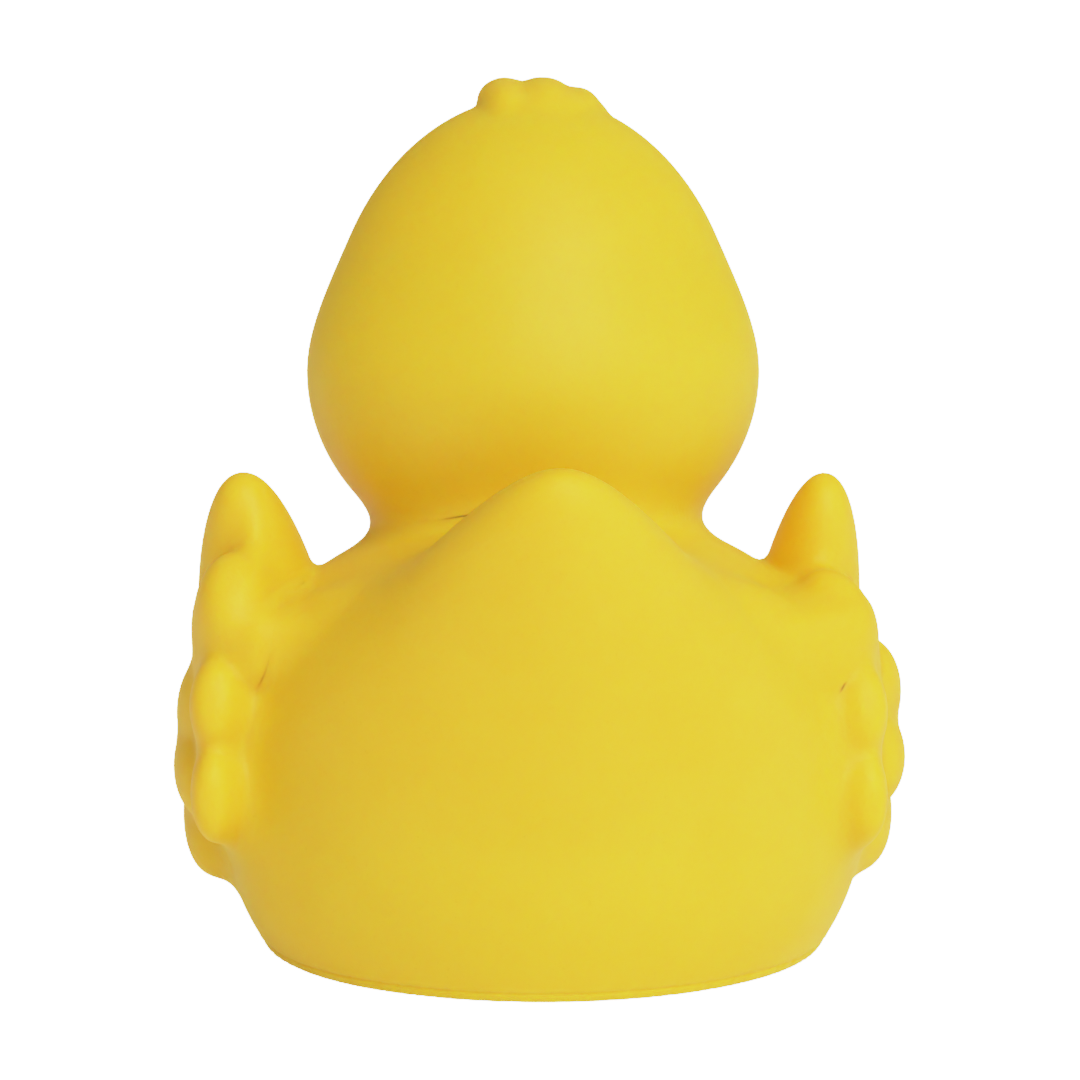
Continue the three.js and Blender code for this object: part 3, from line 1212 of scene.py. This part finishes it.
@dataclass(frozen=True)
class VinylFinish:
    """Matte soft vinyl, dyed right through, with a painted bill and painted eyes.

    Attributes:
        name: the material's name.
        light_tone: the lighter of the two close yellows.
        deep_tone: the deeper one.
        speck: colour of the speckles.
        speck_share: how much of it they take.
        bill: colour of the bill.
        eye_white: colour of the eyes.
        pupil: colour of the pupils.
        paint_edge: half the softness of a painted edge, in millimetres.
        roughness: roughness of the bare vinyl.
        rough_drift: how far that drifts to each side with the tone.
        paint_gloss: roughness that the paint takes away.
        grain: the grain and the drift of tone.
        grain_strength: strength of the grain's bump.
        grain_height: height of the grain in metres.
        scatter: share of light that goes under the skin.
        scatter_reach: how far red, green and blue go, against one another.
        scatter_scale: that reach in metres.
        sheen: level of the mirrored light.
    """

    name: str = "yellow_vinyl"
    light_tone: tuple[float, float, float, float] = rgba(0.84, 0.59, 0.039)
    deep_tone: tuple[float, float, float, float] = rgba(0.83, 0.57, 0.034)
    speck: tuple[float, float, float, float] = rgba(0.72, 0.50, 0.02)
    speck_share: float = 0.35
    bill: tuple[float, float, float, float] = rgba(0.80, 0.17, 0.012)
    eye_white: tuple[float, float, float, float] = rgba(0.82, 0.81, 0.77)
    pupil: tuple[float, float, float, float] = rgba(0.006, 0.006, 0.007)
    paint_edge: float = 0.06
    roughness: float = 0.5
    rough_drift: float = 0.03
    paint_gloss: float = 0.17
    grain: MouldGrain = field(default_factory=MouldGrain)
    grain_strength: float = 0.06
    grain_height: float = 0.0004
    scatter: float = 0.8
    scatter_reach: tuple[float, float, float] = (1.0, 0.42, 0.08)
    scatter_scale: float = 0.005
    sheen: float = 0.22

    def material(self) -> bpy.types.Material:
        """Builds the material.

        Returns:
            A material whose colour, roughness and bump all vary over the surface.
        """
        made = bpy.data.materials.new(self.name)
        made.use_nodes = True
        tree = made.node_tree
        tree.nodes.clear()
        make = NodeTree(tree)
        grain = make.node("ShaderNodeGroup", node_tree=self.grain.group())
        vinyl = make.mix(grain.outputs["Tone"], self.deep_tone, self.light_tone)
        specks = make.math("MULTIPLY", grain.outputs["Speckle"], self.speck_share)
        vinyl = make.mix(specks, vinyl, self.speck)
        masks = {paint: self.inside(make, paint) for paint in Paint}
        colour = make.mix(masks[Paint.BILL], vinyl, self.bill)
        colour = make.mix(masks[Paint.EYE], colour, self.eye_white)
        colour = make.mix(masks[Paint.PUPIL], colour, self.pupil)
        painted = make.math("MAXIMUM", masks[Paint.BILL], masks[Paint.EYE])
        rough_ends = (self.roughness + self.rough_drift, self.roughness - self.rough_drift)
        rough = make.span(grain.outputs["Tone"], 0.0, 1.0, *rough_ends)
        gloss = make.math("MULTIPLY", painted, self.paint_gloss)
        rough = make.math("SUBTRACT", rough, gloss)
        bump = make.node(
            "ShaderNodeBump",
            {
                "Strength": self.grain_strength,
                "Distance": self.grain_height,
                "Height": grain.outputs["Height"],
            },
        )
        shader = make.node(
            "ShaderNodeBsdfPrincipled",
            {"Base Color": colour, "Roughness": rough, "Normal": bump.outputs[0]},
        )
        shader.inputs["Subsurface Weight"].default_value = self.scatter
        shader.inputs["Subsurface Radius"].default_value = self.scatter_reach
        shader.inputs["Subsurface Scale"].default_value = self.scatter_scale
        shader.inputs["Specular IOR Level"].default_value = self.sheen
        make.node("ShaderNodeOutputMaterial", {"Surface": shader.outputs[0]})
        return made

    def inside(self, make: NodeTree, paint: Paint) -> bpy.types.NodeSocket:
        """1 inside a painted field and 0 outside it, with a slightly soft edge."""
        edge = make.node("ShaderNodeAttribute", attribute_name=paint.value).outputs["Fac"]
        return make.span(edge, -self.paint_edge, self.paint_edge, 1.0, 0.0)


# ---- studio --------------------------------------------------------------------------------------
@dataclass(frozen=True)
class Lamp:
    """A wide soft light from far away.

    Attributes:
        name: the lamp's name.
        place: the direction that it comes from.
        spread: its width in degrees.
        power: its strength.
        tint: its colour.
        gloss: whether it is mirrored in the vinyl's sheen.
    """

    name: str
    place: tuple[float, float, float]
    spread: float
    power: float
    tint: tuple[float, float, float] = (1.0, 1.0, 1.0)
    gloss: bool = True

    def build(self) -> None:
        """Makes the lamp and puts it in the scene."""
        light = bpy.data.lights.new(self.name, "SUN")
        light.angle = math.radians(self.spread)
        light.energy = self.power
        light.color = self.tint
        holder = bpy.data.objects.new(self.name, light)
        holder.visible_glossy = self.gloss
        holder.location = self.place
        holder.rotation_euler = (-Vector(self.place)).to_track_quat("-Z", "Y").to_euler()
        bpy.context.collection.objects.link(holder)


@dataclass(frozen=True)
class Studio:
    """A plain pale floor, soft lamps, a warm surrounding light and the camera behind the duck.

    Attributes:
        lamps: all lamps.
        tent_colour: colour of the light from all round.
        tent_power: its strength.
        floor_size: side of the square floor in metres.
        floor_gap: how far it is below the base, in metres.
        floor_tone: the floor's own colour.
        floor_roughness: its roughness.
        floor_glow: light that it gives off.
        floor_seen_glow: light that the camera sees on top of that.
        film_ends: where the film's curve begins and ends.
        film_bends: points of the curve between them, each a light and its shown brightness.
        aim: the point that the camera looks at.
        distance: how far the camera is from it, in metres.
        azimuth: degrees about the duck from its front.
        elevation: degrees above the floor.
        lens: focal length in millimetres.
        sensor: width of the camera's sensor in millimetres.
    """

    lamps: tuple[Lamp, ...] = (
        Lamp("key", (-0.25, 0.75, 0.65), 50.0, 2.2),
        Lamp("side", (-0.9, 0.3, 0.35), 60.0, 0.4),
        Lamp("bounce", (0.9, 0.5, 0.1), 80.0, 0.35, (1.0, 0.72, 0.3)),
        Lamp("front", (-0.2, -0.95, 0.3), 60.0, 0.9, gloss=False),
    )
    tent_colour: tuple[float, float, float, float] = rgba(1.0, 0.80, 0.5)
    tent_power: float = 0.32
    floor_size: float = 6.0
    floor_gap: float = 0.0001
    floor_tone: tuple[float, float, float, float] = rgba(0.75, 0.75, 0.75)
    floor_roughness: float = 0.9
    floor_glow: float = 0.2
    floor_seen_glow: float = 4.0
    film_ends: tuple[tuple[float, float], ...] = ((0.0, 0.0), (2.2, 1.0))
    film_bends: tuple[tuple[float, float], ...] = (
        (0.3, 0.3),
        (0.62, 0.62),
        (0.8, 0.735),
        (1.05, 0.815),
        (1.6, 0.94),
    )
    aim: tuple[float, float, float] = (0.0, 0.0032, 0.0422)
    distance: float = 0.7
    azimuth: float = 176.6
    elevation: float = 10.0
    lens: float = 229.4
    sensor: float = 36.0

    def build(self) -> None:
        """Makes floor, surroundings, film, lamps and camera."""
        self.floor()
        self.surroundings()
        self.film()
        for lamp in self.lamps:
            lamp.build()
        self.camera()

    def floor(self) -> None:
        """A wide sheet just under the base, bright to the camera and clear from below."""
        half, low = self.floor_size / 2, -self.floor_gap
        corners = [(-half, -half, low), (half, -half, low), (half, half, low), (-half, half, low)]
        mesh = bpy.data.meshes.new("pale_floor")
        mesh.from_pydata(corners, [], [(0, 1, 2, 3)])
        sheet = bpy.data.objects.new("pale_floor", mesh)
        bpy.context.collection.objects.link(sheet)
        paint = bpy.data.materials.new("pale_floor")
        paint.use_nodes = True
        tree = paint.node_tree
        shader = tree.nodes["Principled BSDF"]
        shader.inputs["Base Color"].default_value = self.floor_tone
        shader.inputs["Roughness"].default_value = self.floor_roughness
        shader.inputs["Emission Color"].default_value = rgba(1.0, 1.0, 1.0)
        make = NodeTree(tree)
        seen = make.node("ShaderNodeLightPath").outputs["Is Camera Ray"]
        glow = make.math("MULTIPLY_ADD", seen, self.floor_seen_glow)
        glow.node.inputs[2].default_value = self.floor_glow
        tree.links.new(glow, shader.inputs["Emission Strength"])
        clear = make.node("ShaderNodeBsdfTransparent")
        below = make.node("ShaderNodeNewGeometry").outputs["Backfacing"]
        both = make.node("ShaderNodeMixShader", {0: below, 1: shader.outputs[0], 2: clear.outputs[0]})
        tree.links.new(both.outputs[0], tree.nodes["Material Output"].inputs["Surface"])
        mesh.materials.append(paint)

    def surroundings(self) -> None:
        """An even warm light from all round."""
        world = bpy.data.worlds.new("light_tent")
        world.use_nodes = True
        back = world.node_tree.nodes["Background"]
        back.inputs["Color"].default_value = self.tent_colour
        back.inputs["Strength"].default_value = self.tent_power
        bpy.context.scene.world = world

    def film(self) -> None:
        """The response of film: straight in shade and middle tones, and rolling off softly towards white."""
        view = bpy.context.scene.view_settings
        view.view_transform = "Standard"
        view.use_curve_mapping = True
        mapping = view.curve_mapping
        mapping.use_clip = False
        combined = mapping.curves[3]
        for point, place in zip(combined.points, self.film_ends):
            point.location = place
        for place in self.film_bends:
            combined.points.new(*place)
        mapping.update()

    def camera(self) -> None:
        """The camera behind the duck, a little above it and to its left."""
        azimuth, elevation = math.radians(self.azimuth), math.radians(self.elevation)
        back = Vector(
            (
                math.sin(azimuth) * math.cos(elevation),
                -math.cos(azimuth) * math.cos(elevation),
                math.sin(elevation),
            )
        )
        lens = bpy.data.cameras.new("camera")
        lens.lens = self.lens
        lens.sensor_width = self.sensor
        holder = bpy.data.objects.new("camera", lens)
        holder.location = Vector(self.aim) + back * self.distance
        holder.rotation_euler = (-back).to_track_quat("-Z", "Y").to_euler()
        bpy.context.collection.objects.link(holder)
        bpy.context.scene.camera = holder


def main() -> None:
    """Builds the duck, its finish and the studio, and reports each piece."""
    logging.basicConfig(level=logging.INFO, format="%(name)s: %(message)s")
    skin = VinylSkin(Duck()).build()
    skin.data.materials.append(VinylFinish().material())
    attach(skin, "root")
    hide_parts("duck_body")
    LOG.info("%s: %d vertices, %d faces", skin.name, len(skin.data.vertices), len(skin.data.polygons))
    Studio().build()


if __name__ == "__main__":
    main()
